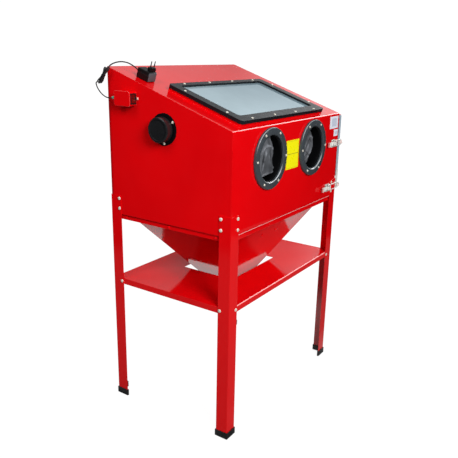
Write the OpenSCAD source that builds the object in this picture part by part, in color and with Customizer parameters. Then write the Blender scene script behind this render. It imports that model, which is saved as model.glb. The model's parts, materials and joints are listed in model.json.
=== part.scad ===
// Free-standing sandblast cabinet: a sheet steel blasting chamber on four angle-section legs,
// with a sloping roof and window, two arm holes with gloves, a side loading door with two
// draw latches, a hopper with a slide gate, a shelf, a lamp supply and a suction blast gun.
// Millimetres. +X is right, +Y is to the rear, +Z is up. The origin is the centre of the
// footprint on the floor.

/* [Cabinet body] */
// Width over the side panels
body_w = 840; // [820:5:880]
// Depth over the front and back panels
body_d = 560; // [550:5:600]
// Height of the front top edge above the floor
front_h = 1170; // [1165:1:1190]
// Height of the rear top edge above the floor
rear_h = 1360; // [1350:5:1400]
// Height of the bottom edge of the cabinet walls
skirt_h = 805; // [800:1:808]
// Thickness of the sheet steel
sheet = 2; // [2:0.5:2.5]
// Outside radius of the bend between the front and the roof
bend_r = 8; // [5:1:12]

/* [Window] */
// Width of the window frame
frame_w = 630; // [600:10:650]
// Length of the window frame along the roof slope
frame_l = 336; // [320:4:340]
// Width of the frame's front and side bars
frame_bar = 40; // [36:1:44]
// Width of the frame's rear bar
rear_bar = 23; // [22:1:30]
// Thickness of the frame's bars
frame_t = 13; // [9:1:16]
// Height of the pressed rim that carries the window
rim_h = 12; // [10:1:14]
// Sideways offset of the window from the middle of the cabinet
window_x = -39; // [-45:1:0]
// Distance of the window's middle from the front top edge, along the slope
window_v = 184; // [180:1:200]
// Thickness of the glass
glass_t = 4; // [3:1:5]

/* [Arm holes] */
// Height of the arm holes' centres
arm_z = 1050; // [1030:5:1052]
// Distance between the arm holes' centres
arm_pitch = 340; // [320:5:360]
// Sideways offset of the pair from the middle of the cabinet
arm_x = -4; // [-10:1:10]
// Outside radius of the clamping rings
ring_r = 114; // [112:1:116]
// Inside radius of the clamping rings
ring_hole_r = 86; // [80:1:88]
// Thickness of the clamping rings
ring_t = 10; // [6:1:14]

/* [Legs and shelf] */
// Width of each leg flange
leg_flange = 50; // [48:1:60]
// Height of the top end of the legs
leg_top = 880; // [878:1:890]
// Height of the rubber feet
foot_h = 26; // [20:1:40]
// Height of the shelf's top face
shelf_z = 537; // [530:1:600]
// Depth of the shelf's folded edge
shelf_lip = 24; // [20:1:30]
// Width of the hopper's hole in the shelf
shelf_hole_w = 336; // [330:2:360]
// Depth of the hopper's hole in the shelf
shelf_hole_d = 245; // [240:1:300]

/* [Side door] */
// Height of the door's bottom edge
door_z = 890; // [888:1:900]
// Thickness of the door's pan
door_t = 18; // [16:1:24]
// Thickness of the door's rubber seal
seal_t = 6.7; // [4:0.1:7]
// Height of the upper draw latch
upper_latch_z = 1043; // [1000:1:1060]
// Height of the lower draw latch
lower_latch_z = 850; // [848:0.5:852]

/* [Hidden] */
$fn = 48;

red = "#d8141c";
black = "#18181a";
zinc = "#c9c6b8";
steel = "#b4b6ba";

half_w = body_w / 2;
half_d = body_d / 2;
roof_a = atan((rear_h - front_h) / body_d);
bend_t = bend_r * tan((90 - roof_a) / 2);
gap = 0.2;

// Window, in the roof's own frame: across, up the slope, and out of the roof
rim_w = frame_w - 8;
rim_l = frame_l - 8;
rim_lip = 16;
glass_in = 15;
gasket_t = 1;
frame_r = 14;
window_screw_in = 11;
window_screw_pitch = 157;
window_side_pitch = 190;

// Arm holes
arm_hole_r = ring_hole_r + 4;
ring_bolt_r = 102;
cuff_t = 1.5;

// Legs and their bolts
leg_t = 2;
bolt_in = 40;
bolt_zs = [868, 828];
shelf_bolt_z = shelf_z - shelf_lip / 2;
shelf_bend_r = 5;
bolt_r = 3;
bolt_hole_r = 3.2;
foot_wall = 3;
foot_floor = 4;

// Hopper
hopper_rim_z = 785;
hopper_rim_top = 840;
band_in = 6;
hem_l = 12;
hopper_top_w = 722;
hopper_top_d = 476;
hopper_apex_z = 376;
outlet_z = 432;
outlet_k = (outlet_z - hopper_apex_z) / (hopper_rim_z - hopper_apex_z);
outlet_w = hopper_top_w * outlet_k;
outlet_d = hopper_top_d * outlet_k;
neck_z = 412;
hopper_screw_z = 793;
gate_t = 2;
gate_l = 96;

// Side door
door_x0 = half_w + seal_t + 0.3;
door_x1 = door_x0 + door_t;
door_front = -half_d + sheet;
door_rear = half_d - 16;
door_drop = 9;
hinge_x = door_x1 + 5;
hinge_y = half_d - 4;
hinge_r = 6;
hinge_zs = [960, 1190];
hinge_l = 60;
knuckle_gap = 0.4;
hinge_pin_r = 2.5;

// Draw latches: places of the lever pivots and sizes shared by both
latch_out = 11;
upper_latch_x = half_w - 40;
lower_latch_x = half_w - 74;
lever_l = 68;
finger_l = 14;
finger_a = 120;
bail_arm = 14;
bail_dip = 2;
bail_half = 12;
wire_r = 1.6;
ear_half = 10;
keeper_x = door_x0 + 9;
keeper_t = 2.5;
pivot_r = 2;

// Switch box on the left side
box_out = 35;
box_y0 = 140;
box_y1 = 217;
box_z0 = 1225;
box_z1 = 1278;
box_r = 8;
box_wall = 1.5;
ear_out = 13;
rocker_z = (box_z0 + box_z1) / 2;
rocker_x = -half_w - 17;
rocker_w = 20;
rocker_h = 30;
rocker_tilt = 10;

// Dust port on the left side
dust_y = 12;
dust_z = 1153;
dust_flange_r = 57;
dust_pipe_r = 40;
dust_cap_r = 45;
dust_out = 36;
dust_bolt_r = 50;
dust_bolt_as = [26, 146, 266];

// Power adapter lying on the roof, in the roof's own frame
adapter_x = -357;
adapter_v0 = 428;
adapter_w = 42;
adapter_l = 56;
adapter_h = 37;
plug_h = 14;
pin_pitch = 19;
pin_l = 23;

// Blast gun lying on the grate
grate_z = hopper_rim_z + sheet + 0.05;
grate_t = 4;
gun_x = 210;
gun_y = -80;
gun_z = grate_z + grate_t + 15.1;
hose_r = 10;
air_hose_r = 7;
trigger_at = [-12, 24];
trigger_pin_r = 1.5;
pickup_x = 84.2;
pickup_y = 8;
inlet_x = gun_x + 46.8;
inlet_z = 900;
// The inlet reaches as far back as the latch levers reach forward
inlet_out = latch_out - 4 + finger_l * sin(finger_a);

function roof_z(y) = front_h + (y + half_d) * tan(roof_a);

// Places of the fasteners
window_screw_places = concat(
    [for (i = [-1.5:1:1.5], s = [-1, 1])
        [window_x + i * window_screw_pitch, window_v + s * (frame_l / 2 - window_screw_in)]],
    [for (i = [-0.5, 0.5], s = [-1, 1])
        [window_x + s * (frame_w / 2 - window_screw_in), window_v + i * window_side_pitch]]
);
arm_xs = [arm_x - arm_pitch / 2, arm_x + arm_pitch / 2];
hopper_screw_xs = [-147, 147];
hopper_screw_ys = [-213, 0, 213];
slope_bolt_xs = [-66, 44];
slope_bolt_z = 713;

// ---------------------------------------------------------------- placing helpers

// Puts its children on the roof: X across, Y up the slope, Z out of the roof
module on_roof() {
    translate([0, -half_d, front_h]) rotate([roof_a, 0, 0]) children();
}

// Puts its children on the front wall: Z points out of the wall, Y up
module on_front(x, z) {
    translate([x, -half_d, z]) rotate([90, 0, 0]) children();
}

// Puts its children on the back wall: Z points out of the wall
module on_back(x, z) {
    translate([x, half_d, z]) rotate([-90, 0, 0]) children();
}

// Puts its children on the left wall: Z points out of the wall, X up
module on_left(y, z) {
    translate([-half_w, y, z]) rotate([0, -90, 0]) children();
}

// Puts its children on the right wall: Z points out of the wall
module on_right(y, z) {
    translate([half_w, y, z]) rotate([0, 90, 0]) children();
}

// Turns a drawing of Y and Z upright and extrudes it along X
module along_x(x, w) {
    translate([x, 0, 0]) rotate([90, 0, 90]) linear_extrude(w) children();
}

// ---------------------------------------------------------------- shared shapes

module block(x0, x1, y0, y1, z0, z1) {
    translate([x0, y0, z0]) cube([x1 - x0, y1 - y0, z1 - z0]);
}

// Flat plate with round corners, centred on the origin, from z = 0 upwards
module round_plate(w, l, r, t) {
    translate([-w / 2 + r, -l / 2, 0]) cube([w - 2 * r, l, t]);
    translate([-w / 2, -l / 2 + r, 0]) cube([w, l - 2 * r, t]);
    for (sx = [-1, 1], sy = [-1, 1])
        translate([sx * (w / 2 - r), sy * (l / 2 - r), 0]) cylinder(r = r, h = t);
}

// Rectangular ring, centred, from z = z0 to z = z1
module frame_ring(w, l, w_in, l_in, z0, z1) {
    difference() {
        translate([-w / 2, -l / 2, z0]) cube([w, l, z1 - z0]);
        translate([-w_in / 2, -l_in / 2, z0 - 1]) cube([w_in, l_in, z1 - z0 + 2]);
    }
}

// Domed screw head sitting on z = 0 with its shank going down to z = -len
module screw(head_r, head_h, shank_r, len) {
    rotate_extrude()
        polygon([[0, -len], [shank_r, -len], [shank_r, 0], [head_r, 0], [head_r, head_h * 0.4],
                 [head_r * 0.85, head_h * 0.75], [head_r * 0.55, head_h * 0.95], [0, head_h]]);
}

// Screw with a hexagon nut whose outer face is at z = -grip
module bolt_and_nut(head_r, head_h, shank_r, grip, nut_r, nut_h) {
    screw(head_r, head_h, shank_r, grip + nut_h + 2);
    translate([0, 0, -grip - nut_h]) cylinder(r = nut_r, h = nut_h, $fn = 6);
}

// Straight round rod between two points
module rod(a, b, r) {
    d = b - a;
    h = norm(d);
    translate(a)
        rotate([0, acos(d[2] / h), atan2(d[1], d[0])])
            cylinder(r = r, h = h);
}

// Round rod that follows a list of points, with ball corners
module rod_path(pts, r) {
    for (i = [0:len(pts) - 2]) rod(pts[i], pts[i + 1], r);
    for (i = [1:len(pts) - 2]) translate(pts[i]) sphere(r = r * 1.03);
}

// Places of the leg bolts at the given heights, on both flanges of every leg
module frame_bolt_places(zs) {
    for (z = zs, sx = [-1, 1], sy = [-1, 1]) {
        translate([sx * (half_w + leg_t), sy * (half_d - bolt_in), z])
            rotate([0, sx * 90, 0]) children();
        translate([sx * (half_w - bolt_in), sy * (half_d + leg_t), z])
            rotate([-sy * 90, 0, 0]) children();
    }
}

module frame_bolt_holes() {
    frame_bolt_places(concat(bolt_zs, [shelf_bolt_z]))
        translate([0, 0, -20]) cylinder(r = bolt_hole_r, h = 30, $fn = 32);
}

module ring_bolt_places() {
    for (x = arm_xs, a = [0:60:300])
        on_front(x, arm_z) rotate(a) translate([ring_bolt_r, 0, 0]) children();
}

module ring_bolt_holes() {
    ring_bolt_places() translate([0, 0, -20]) cylinder(r = 2.3, h = 60, $fn = 24);
}

module window_screw_holes() {
    for (p = window_screw_places)
        translate([p[0], p[1], -10]) cylinder(r = 2.2, h = 60, $fn = 24);
}

// ---------------------------------------------------------------- cabinet walls

// Outline of a side wall in Y and Z, rounded where the front turns into the roof
module side_outline() {
    c = [-half_d + bend_r, front_h - bend_t];
    polygon(concat(
        [[-half_d, skirt_h]],
        [for (i = [0:6]) let (a = 180 - i * (90 - roof_a) / 6) c + bend_r * [cos(a), sin(a)]],
        [[half_d, rear_h], [half_d, skirt_h]]
    ));
}

module left_side_panel() {
    color(red) difference() {
        along_x(-half_w, sheet) side_outline();
        on_left(dust_y, dust_z) translate([0, 0, -10]) cylinder(r = dust_pipe_r - 2, h = 20);
        on_left(box_y1 - 20, rocker_z) translate([0, 0, -10]) cylinder(r = 8, h = 20);
        left_wall_screw_holes();
        frame_bolt_holes();
    }
}

// Outline of the loading opening behind the side door
module door_opening_outline() {
    y0 = -half_d + 42;
    y1 = half_d - 52;
    polygon([[y0, 925], [y1, 925], [y1, roof_z(y1) - 55], [y0, roof_z(y0) - 55]]);
}

module right_side_panel() {
    color(red) difference() {
        along_x(half_w - sheet, sheet) side_outline();
        along_x(half_w - sheet - 1, sheet + 2) door_opening_outline();
        frame_bolt_holes();
    }
}

// Pressed rim round the window: a raised wall with a lip that carries the glass and takes the screws
module window_rim() {
    translate([window_x, window_v, 0]) {
        frame_ring(rim_w, rim_l, rim_w - 2 * sheet, rim_l - 2 * sheet, -sheet / 2, rim_h);
        frame_ring(rim_w, rim_l, rim_w - 2 * rim_lip, rim_l - 2 * rim_lip, rim_h - sheet, rim_h);
    }
}

// Section through the sheet that is folded into the front wall and the roof; its lower edge is hemmed
module front_roof_section() {
    c = [-half_d + bend_r, front_h - bend_t];
    steps = [for (i = [0:6]) 180 - i * (90 - roof_a) / 6];
    hem = [-half_d + sheet, skirt_h + sheet];
    polygon(concat(
        [for (a = [180:-22.5:0]) hem + sheet * [cos(a), -sin(a)]],
        [[hem[0] + sheet, skirt_h + hem_l], [hem[0], skirt_h + hem_l]],
        [for (i = [0:6]) c + (bend_r - sheet) * [cos(steps[i]), sin(steps[i])]],
        [[half_d, rear_h - sheet / cos(roof_a)], [half_d, rear_h]],
        [for (i = [6:-1:0]) c + bend_r * [cos(steps[i]), sin(steps[i])]]
    ));
}

// Front wall and roof, folded from one sheet
module front_roof_panel() {
    w = body_w - 2 * sheet;
    color(red) difference() {
        union() {
            difference() {
                along_x(-w / 2, w) front_roof_section();
                on_roof() translate([window_x - rim_w / 2 + 1, window_v - rim_l / 2 + 1, -5])
                    cube([rim_w - 2, rim_l - 2, 10]);
            }
            on_roof() window_rim();
        }
        for (x = arm_xs) on_front(x, arm_z) translate([0, 0, -10]) cylinder(r = arm_hole_r, h = 20, $fn = 96);
        ring_bolt_holes();
        on_roof() window_screw_holes();
        frame_bolt_holes();
    }
}

module back_panel() {
    w = body_w - 2 * sheet;
    top = rear_h - sheet / cos(roof_a) - sheet * tan(roof_a) - gap;
    color(red) difference() {
        block(-w / 2, w / 2, half_d - sheet, half_d, skirt_h, top);
        on_back(inlet_x, inlet_z) translate([0, 0, -10]) cylinder(r = 8.5, h = 20, $fn = 32);
        hinge_screw_holes();
        frame_bolt_holes();
    }
}

// ---------------------------------------------------------------- hopper and grate

module hopper_solid(inset, z_low, z_high) {
    k = outlet_k;
    hull() {
        translate([-hopper_top_w / 2 + inset, -hopper_top_d / 2 + inset, z_high])
            cube([hopper_top_w - 2 * inset, hopper_top_d - 2 * inset, 0.01]);
        translate([-hopper_top_w * k / 2 + inset, -hopper_top_d * k / 2 + inset, z_low])
            cube([hopper_top_w * k - 2 * inset, hopper_top_d * k - 2 * inset, 0.01]);
    }
}

module hopper() {
    rim_x = half_w - band_in;
    rim_y = half_d - band_in;
    wall = 2.4;
    color(red) difference() {
        union() {
            frame_ring(2 * rim_x, 2 * rim_y, 2 * (rim_x - sheet), 2 * (rim_y - sheet),
                       hopper_rim_z, hopper_rim_top);
            block(-rim_x, rim_x, -rim_y, rim_y, hopper_rim_z, hopper_rim_z + sheet);
            hopper_solid(0, outlet_z, hopper_rim_z);
            block(-outlet_w / 2, outlet_w / 2, -outlet_d / 2, outlet_d / 2, neck_z, outlet_z + 1);
        }
        hopper_solid(wall, outlet_z, hopper_rim_z + sheet);
        block(-hopper_top_w / 2 + 3, hopper_top_w / 2 - 3, -hopper_top_d / 2 + 3, hopper_top_d / 2 - 3,
              hopper_rim_z, hopper_rim_z + 5);
        block(-outlet_w / 2 + wall, outlet_w / 2 - wall, -outlet_d / 2 + wall, outlet_d / 2 - wall,
              neck_z - 1, outlet_z + 2);
        hopper_screw_places() translate([0, 0, -10]) cylinder(r = 2.8, h = 20, $fn = 24);
        slope_bolt_places() translate([0, 0, -10]) cylinder(r = 3.2, h = 20, $fn = 24);
        frame_bolt_holes();
    }
}

module hopper_screw_places() {
    rim_x = half_w - band_in;
    rim_y = half_d - band_in;
    for (s = [-1, 1]) {
        for (x = hopper_screw_xs)
            translate([x, s * rim_y, hopper_screw_z]) rotate([-s * 90, 0, 0]) children();
        for (y = hopper_screw_ys)
            translate([s * rim_x, y, hopper_screw_z]) rotate([0, s * 90, 0]) children();
    }
}

// Two bolts on the hopper's front slope
module slope_bolt_places() {
    k = hopper_top_d / 2 / (hopper_rim_z - hopper_apex_z);
    for (x = slope_bolt_xs)
        translate([x, -k * (slope_bolt_z - hopper_apex_z), slope_bolt_z])
            rotate([90 + atan(k), 0, 0]) children();
}

module hopper_screws() {
    color(zinc) {
        hopper_screw_places() screw(5, 3, 2.5, 6);
        slope_bolt_places() screw(6.5, 3.6, 3, 12);
    }
}

// Pair of folded rails under the outlet that carry the slide gate
module gate_rails() {
    z0 = neck_z - gate_t - sheet - 0.6;
    x0 = outlet_w / 2 + gap;
    color(red) for (s = [-1, 1]) mirror([s < 0 ? 1 : 0, 0, 0]) {
        block(x0, x0 + sheet, -outlet_d / 2 - 8, outlet_d / 2 + 8, z0, neck_z + 12);
        block(x0 - 5, x0 + 1, -outlet_d / 2 - 8, outlet_d / 2 + 8, z0, z0 + sheet);
    }
}

module drain_gate() {
    z1 = neck_z - 0.4;
    w = outlet_w - 0.8;
    color(zinc) {
        block(-w / 2, w / 2, -gate_l / 2 - 8, gate_l / 2 - 8, z1 - gate_t, z1);
        block(-w / 2, w / 2, -gate_l / 2 - 10, -gate_l / 2 - 8, z1 - 24, z1);
        block(-w / 2, w / 2, -gate_l / 2 - 22, -gate_l / 2 - 8, z1 - 26, z1 - 24);
    }
}

// Perforated floor plate that carries the work
module work_grate() {
    w = 2 * (half_w - 12);
    l = 2 * (half_d - 12);
    nx = 14;
    ny = 7;
    px = (w - 30) / nx;
    py = (l - 30) / ny;
    color(steel) translate([0, 0, grate_z]) linear_extrude(grate_t) difference() {
        square([w, l], center = true);
        for (i = [0:nx - 1], j = [0:ny - 1])
            translate([-w / 2 + 15 + (i + 0.5) * px, -l / 2 + 15 + (j + 0.5) * py])
                square([px - 8, py - 8], center = true);
    }
}

// ---------------------------------------------------------------- stand

module leg(sx, sy) {
    f = leg_flange;
    color(red) difference() {
        translate([sx * (half_w + leg_t), sy * (half_d + leg_t), foot_floor])
            mirror([sx > 0 ? 1 : 0, 0, 0]) mirror([0, sy > 0 ? 1 : 0, 0])
                linear_extrude(leg_top - foot_floor)
                    polygon([[0, 0], [f, 0], [f, leg_t], [leg_t, leg_t], [leg_t, f], [0, f]]);
        frame_bolt_holes();
    }
}

module front_left_leg() { leg(-1, -1); }
module front_right_leg() { leg(1, -1); }
module rear_left_leg() { leg(-1, 1); }
module rear_right_leg() { leg(1, 1); }

// One rubber boot with an angle-shaped socket for the leg's end
module foot(sx, sy) {
    f = leg_flange;
    w = foot_wall;
    g = 0.05;
    translate([sx * (half_w + leg_t), sy * (half_d + leg_t), 0])
        mirror([sx > 0 ? 1 : 0, 0, 0]) mirror([0, sy > 0 ? 1 : 0, 0])
            difference() {
                linear_extrude(foot_h)
                    polygon([[-w, -w], [f + w, -w], [f + w, leg_t + w], [leg_t + w, leg_t + w],
                             [leg_t + w, f + w], [-w, f + w]]);
                translate([0, 0, foot_floor]) linear_extrude(foot_h)
                    polygon([[-g, -g], [f + g, -g], [f + g, leg_t + g], [leg_t + g, leg_t + g],
                             [leg_t + g, f + g], [-g, f + g]]);
            }
}

module rubber_feet() {
    color(black) for (sx = [-1, 1], sy = [-1, 1]) foot(sx, sy);
}

// Outline of the shelf in Y and Z, drawn in by e, with round upper edges of radius r
module shelf_outline(e, r, z0) {
    y = half_d - e;
    z = shelf_z - e;
    polygon(concat(
        [[-y, z0]],
        [for (a = [180:-15:90]) [r - y + r * cos(a), z - r + r * sin(a)]],
        [for (a = [90:-15:0]) [y - r + r * cos(a), z - r + r * sin(a)]],
        [[y, z0]]
    ));
}

module shelf() {
    z0 = shelf_z - shelf_lip;
    color(red) difference() {
        along_x(-half_w, body_w) shelf_outline(0, shelf_bend_r, z0);
        along_x(-half_w + sheet, body_w - 2 * sheet) shelf_outline(sheet, shelf_bend_r - sheet, z0 - 1);
        block(-shelf_hole_w / 2, shelf_hole_w / 2, -shelf_hole_d / 2, shelf_hole_d / 2, z0 - 1, shelf_z + 1);
        frame_bolt_holes();
    }
}

module frame_bolts() {
    color(zinc) {
        frame_bolt_places([bolt_zs[0], shelf_bolt_z]) bolt_and_nut(6.5, 3.6, bolt_r, 2 * sheet + 0.05, 5.8, 5);
        frame_bolt_places([bolt_zs[1]]) bolt_and_nut(6.5, 3.6, bolt_r, leg_t + band_in + sheet + 0.05, 5.8, 5);
    }
}

// ---------------------------------------------------------------- window

module window_gasket() {
    w = frame_w - 2 * glass_in - 1;
    l = frame_l - 2 * glass_in - 1;
    color(black) on_roof() translate([window_x, window_v, 0])
        frame_ring(w, l, rim_w - 2 * rim_lip, rim_l - 2 * rim_lip, rim_h, rim_h + gasket_t);
}

module window_glass() {
    w = frame_w - 2 * glass_in;
    l = frame_l - 2 * glass_in;
    color([0.68, 0.76, 0.8, 0.4]) on_roof()
        translate([window_x - w / 2, window_v - l / 2, rim_h + gasket_t]) cube([w, l, glass_t]);
}

// Clamping frame: the rear bar is narrower, and a rebate underneath holds the glass
module window_frame() {
    w = frame_w - 2 * glass_in + 1;
    l = frame_l - 2 * glass_in + 1;
    rebate = gasket_t + glass_t + 0.05;
    color(black) on_roof() difference() {
        translate([window_x, window_v, rim_h]) difference() {
            round_plate(frame_w, frame_l, frame_r, frame_t);
            translate([0, (frame_bar - rear_bar) / 2, -1])
                round_plate(frame_w - 2 * frame_bar, frame_l - frame_bar - rear_bar, frame_r, frame_t + 2);
            translate([-w / 2, -l / 2, -1]) cube([w, l, rebate + 1]);
        }
        window_screw_holes();
    }
}

module window_screws() {
    color(zinc) on_roof() for (p = window_screw_places)
        translate([p[0], p[1], rim_h + frame_t]) screw(4.6, 3, 2, frame_t + 5);
}

// ---------------------------------------------------------------- arm holes

// Clamping ring over a glove's cuff, with a rounded outer shoulder
module glove_ring(x) {
    color(black) difference() {
        on_front(x, arm_z) rotate_extrude($fn = 96)
            polygon([[ring_hole_r, cuff_t], [ring_r, cuff_t], [ring_r, cuff_t + ring_t - 4],
                     [ring_r - 1.5, cuff_t + ring_t - 1.2], [ring_r - 5, cuff_t + ring_t],
                     [ring_hole_r + 3, cuff_t + ring_t], [ring_hole_r, cuff_t + ring_t - 3]]);
        ring_bolt_holes();
    }
}

module left_glove_ring() { glove_ring(arm_xs[0]); }
module right_glove_ring() { glove_ring(arm_xs[1]); }

module glove_ring_screws() {
    color(zinc) ring_bolt_places() translate([0, 0, cuff_t + ring_t])
        bolt_and_nut(4.6, 3, 2, cuff_t + ring_t + sheet, 4.4, 3.5);
}

// Rubber gauntlet: cuff disc under the ring, a tapering sleeve and a closed mitten
module glove(x) {
    w = 2.5;
    r0 = ring_hole_r - 0.5;
    color("#2c2e31") difference() {
        on_front(x, arm_z) mirror([0, 0, 1]) rotate_extrude($fn = 64)
            polygon([[r0 - w, -cuff_t + 0.1], [ring_r - 3, -cuff_t + 0.1], [ring_r - 3, -0.1],
                     [r0 + 2.5, -0.1], [r0, 12], [r0 - 12, 120], [58, 230], [50, 300], [30, 318],
                     [0, 322], [0, 318], [28, 314], [50 - w, 298], [58 - w, 230], [r0 - 12 - w, 120],
                     [r0 - w, 12]]);
        ring_bolt_holes();
    }
}

module left_glove() { glove(arm_xs[0]); }
module right_glove() { glove(arm_xs[1]); }

// ---------------------------------------------------------------- side door

// Outline of the door in Y and Z, drawn in by e all round
module door_outline(e) {
    y0 = door_front + e;
    y1 = door_rear - e;
    k = e / cos(roof_a);
    polygon([[y0, door_z + e], [y1, door_z + e],
             [y1, roof_z(y1) - door_drop - k], [y0, roof_z(y0) - door_drop - k]]);
}

module side_door() {
    color(red) difference() {
        along_x(door_x0, door_t) door_outline(0);
        along_x(door_x0 - 1, door_t + 1 - sheet) door_outline(sheet);
        door_leaf_holes();
    }
}

module door_gasket() {
    color(black) along_x(half_w + 0.3, seal_t - 0.05) difference() {
        door_outline(0);
        door_outline(16);
    }
}

// Pale edging strip on the door's front edge, rounded at the top
module door_edge_trim() {
    z1 = roof_z(door_front) - door_drop;
    r = 10;
    color("#d2dae2") {
        block(door_x0, door_x1, -half_d, -half_d + sheet - gap, door_z, z1 - r);
        block(door_x0, door_x1 - r, -half_d, -half_d + sheet - gap, z1 - r, z1);
        translate([door_x1 - r, -half_d + sheet - gap, z1 - r]) rotate([90, 0, 0])
            cylinder(r = r, h = sheet - gap);
    }
}

// Knuckle of a hinge from z0 to z1, bored for its pin
module knuckle(z0, z1) {
    translate([hinge_x, hinge_y, z0]) difference() {
        cylinder(r = hinge_r, h = z1 - z0);
        translate([0, 0, -1]) cylinder(r = hinge_pin_r + 0.05, h = z1 - z0 + 2);
    }
}

module hinge_screw_holes() {
    for (z = hinge_zs, dz = [-18, 18])
        on_back(half_w - 26, z + dz) translate([0, 0, -10]) cylinder(r = 2.6, h = 20, $fn = 24);
}

module door_leaf_holes() {
    for (z = hinge_zs, dz = [-14, 14])
        translate([door_x1 - 6, hinge_y - 44, z + dz]) rotate([0, 90, 0]) cylinder(r = 2.6, h = 20, $fn = 24);
}

module door_hinge_leaves() {
    t = 2;
    color(zinc) for (z = hinge_zs) {
        difference() {
            block(door_x1 + 0.05, door_x1 + t, hinge_y - 56, hinge_y + 1, z - hinge_l / 6, z + hinge_l / 6);
            translate([hinge_x, hinge_y, z - 50]) cylinder(r = hinge_pin_r + 0.05, h = 100);
        }
        difference() {
            block(door_x1 + 0.05, door_x1 + t, hinge_y - 56, hinge_y - 14, z - 24, z + 24);
            door_leaf_holes();
        }
        knuckle(z - hinge_l / 6, z + hinge_l / 6);
        for (dz = [-14, 14])
            translate([door_x1 + t, hinge_y - 44, z + dz]) rotate([0, 90, 0]) screw(4.6, 2.4, 2.5, 7);
    }
}

module frame_hinge_leaves() {
    t = 2;
    y0 = half_d + 0.05;
    color(zinc) for (z = hinge_zs) {
        for (s = [-1, 1]) {
            z0 = s > 0 ? z + hinge_l / 6 + knuckle_gap : z - hinge_l / 2;
            z1 = s > 0 ? z + hinge_l / 2 : z - hinge_l / 6 - knuckle_gap;
            knuckle(z0, z1);
            block(half_w + 1, hinge_x, y0, half_d + t, z0, z1);
        }
        difference() {
            block(half_w - 40, half_w + 8, y0, half_d + t, z - hinge_l / 2, z + hinge_l / 2);
            hinge_screw_holes();
        }
        for (dz = [-18, 18])
            on_back(half_w - 26, z + dz) translate([0, 0, t]) screw(4.6, 2.4, 2.5, 10);
    }
}

module hinge_pins() {
    color(steel) for (z = hinge_zs) translate([hinge_x, hinge_y, z - hinge_l / 2 - 2]) {
        cylinder(r = hinge_pin_r, h = hinge_l + 4);
        translate([0, 0, hinge_l + 2.2]) cylinder(r = hinge_r - 1, h = 2.5);
    }
}

// ---------------------------------------------------------------- draw latches
// Each latch is drawn round its lever pivot: X towards the door, Y out of the wall, Z along the pivot

module at_latch(x, z) {
    translate([x, -half_d - latch_out, z]) mirror([0, 1, 0]) children();
}

module latch_base() {
    difference() {
        union() {
            block(-26, 13, -latch_out + 0.05, -latch_out + sheet, -17, 17);
            for (s = [-1, 1]) {
                block(-6, 6, -latch_out + 1, 0, s > 0 ? ear_half - 2 : -ear_half, s > 0 ? ear_half : 2 - ear_half);
                translate([0, 0, s > 0 ? ear_half - 2 : -ear_half]) cylinder(r = 6, h = 2);
            }
        }
        translate([0, 0, -20]) cylinder(r = pivot_r - 0.05, h = 40);
    }
    translate([0, 0, -ear_half - 0.2]) cylinder(r = pivot_r, h = 2 * ear_half + 0.4);
    for (s = [-1, 1])
        translate([-18, -latch_out + sheet, s * 11]) rotate([-90, 0, 0]) screw(4, 2, 2, 1.5);
}

// Over-centre lever: a block round the pivot, a flat handle and a turned-out finger end
module latch_lever() {
    difference() {
        union() {
            cylinder(r = 5, h = 15, center = true);
            block(-bail_arm - 5, 0, -5, 5, -7.5, 7.5);
            block(-lever_l, -bail_arm, -4, -2, -9, 9);
            translate([-lever_l + 0.5, -4, -9]) rotate([0, 0, finger_a]) cube([finger_l, 2, 18]);
        }
        cylinder(r = pivot_r + 0.05, h = 40, center = true);
        translate([-bail_arm, -bail_dip, 0]) cylinder(r = wire_r + 0.05, h = 40, center = true);
    }
}

// Wire bail from the lever to the keeper, with a cross bar at x = reach
module latch_bail(reach) {
    translate([0, -bail_dip, 0]) {
        for (s = [-1, 1]) {
            translate([-bail_arm, 0, s > 0 ? 3 : -bail_half]) cylinder(r = wire_r, h = bail_half - 3);
            rod([-bail_arm, 0, s * bail_half], [reach, 0, s * bail_half], wire_r);
            translate([-bail_arm, 0, s * bail_half]) sphere(r = wire_r);
            translate([reach, 0, s * bail_half]) sphere(r = wire_r);
        }
        rod([reach, 0, -bail_half], [reach, 0, bail_half], wire_r);
    }
}

bar_x = keeper_x + keeper_t / 2 + wire_r + 0.3;

module upper_latch_base() { color(zinc) at_latch(upper_latch_x, upper_latch_z) latch_base(); }
module lower_latch_base() { color(zinc) at_latch(lower_latch_x, lower_latch_z) latch_base(); }
module upper_latch_lever() { color(zinc) at_latch(upper_latch_x, upper_latch_z) latch_lever(); }
module lower_latch_lever() { color(zinc) at_latch(lower_latch_x, lower_latch_z) latch_lever(); }

module upper_latch_bail() {
    color(zinc) at_latch(upper_latch_x, upper_latch_z) latch_bail(bar_x - upper_latch_x);
}

module lower_latch_bail() {
    color(zinc) at_latch(lower_latch_x, lower_latch_z) latch_bail(bar_x - lower_latch_x);
}

// Post that the bail's cross bar pulls against
module keeper_post(z) {
    block(keeper_x - keeper_t / 2, keeper_x + keeper_t / 2, -half_d - latch_out - 5, -half_d - 1, z - 7, z + 7);
}

module upper_keeper() {
    z = upper_latch_z;
    color(zinc) {
        block(door_x0 + 1, door_x1 - 1, -half_d - sheet, -half_d - 0.05, z - 14, z + 14);
        keeper_post(z);
    }
}

module lower_keeper() {
    z = lower_latch_z;
    color(zinc) {
        block(door_x0, door_x1, -half_d - sheet, -half_d - 0.05, z - 14, door_z + 26);
        keeper_post(z);
    }
}

// ---------------------------------------------------------------- switch box and lamp supply

module box_screw_places() {
    for (y = [box_y0 - ear_out + 4.5, box_y1 + ear_out - 4.5]) on_left(y, rocker_z) children();
}

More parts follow.
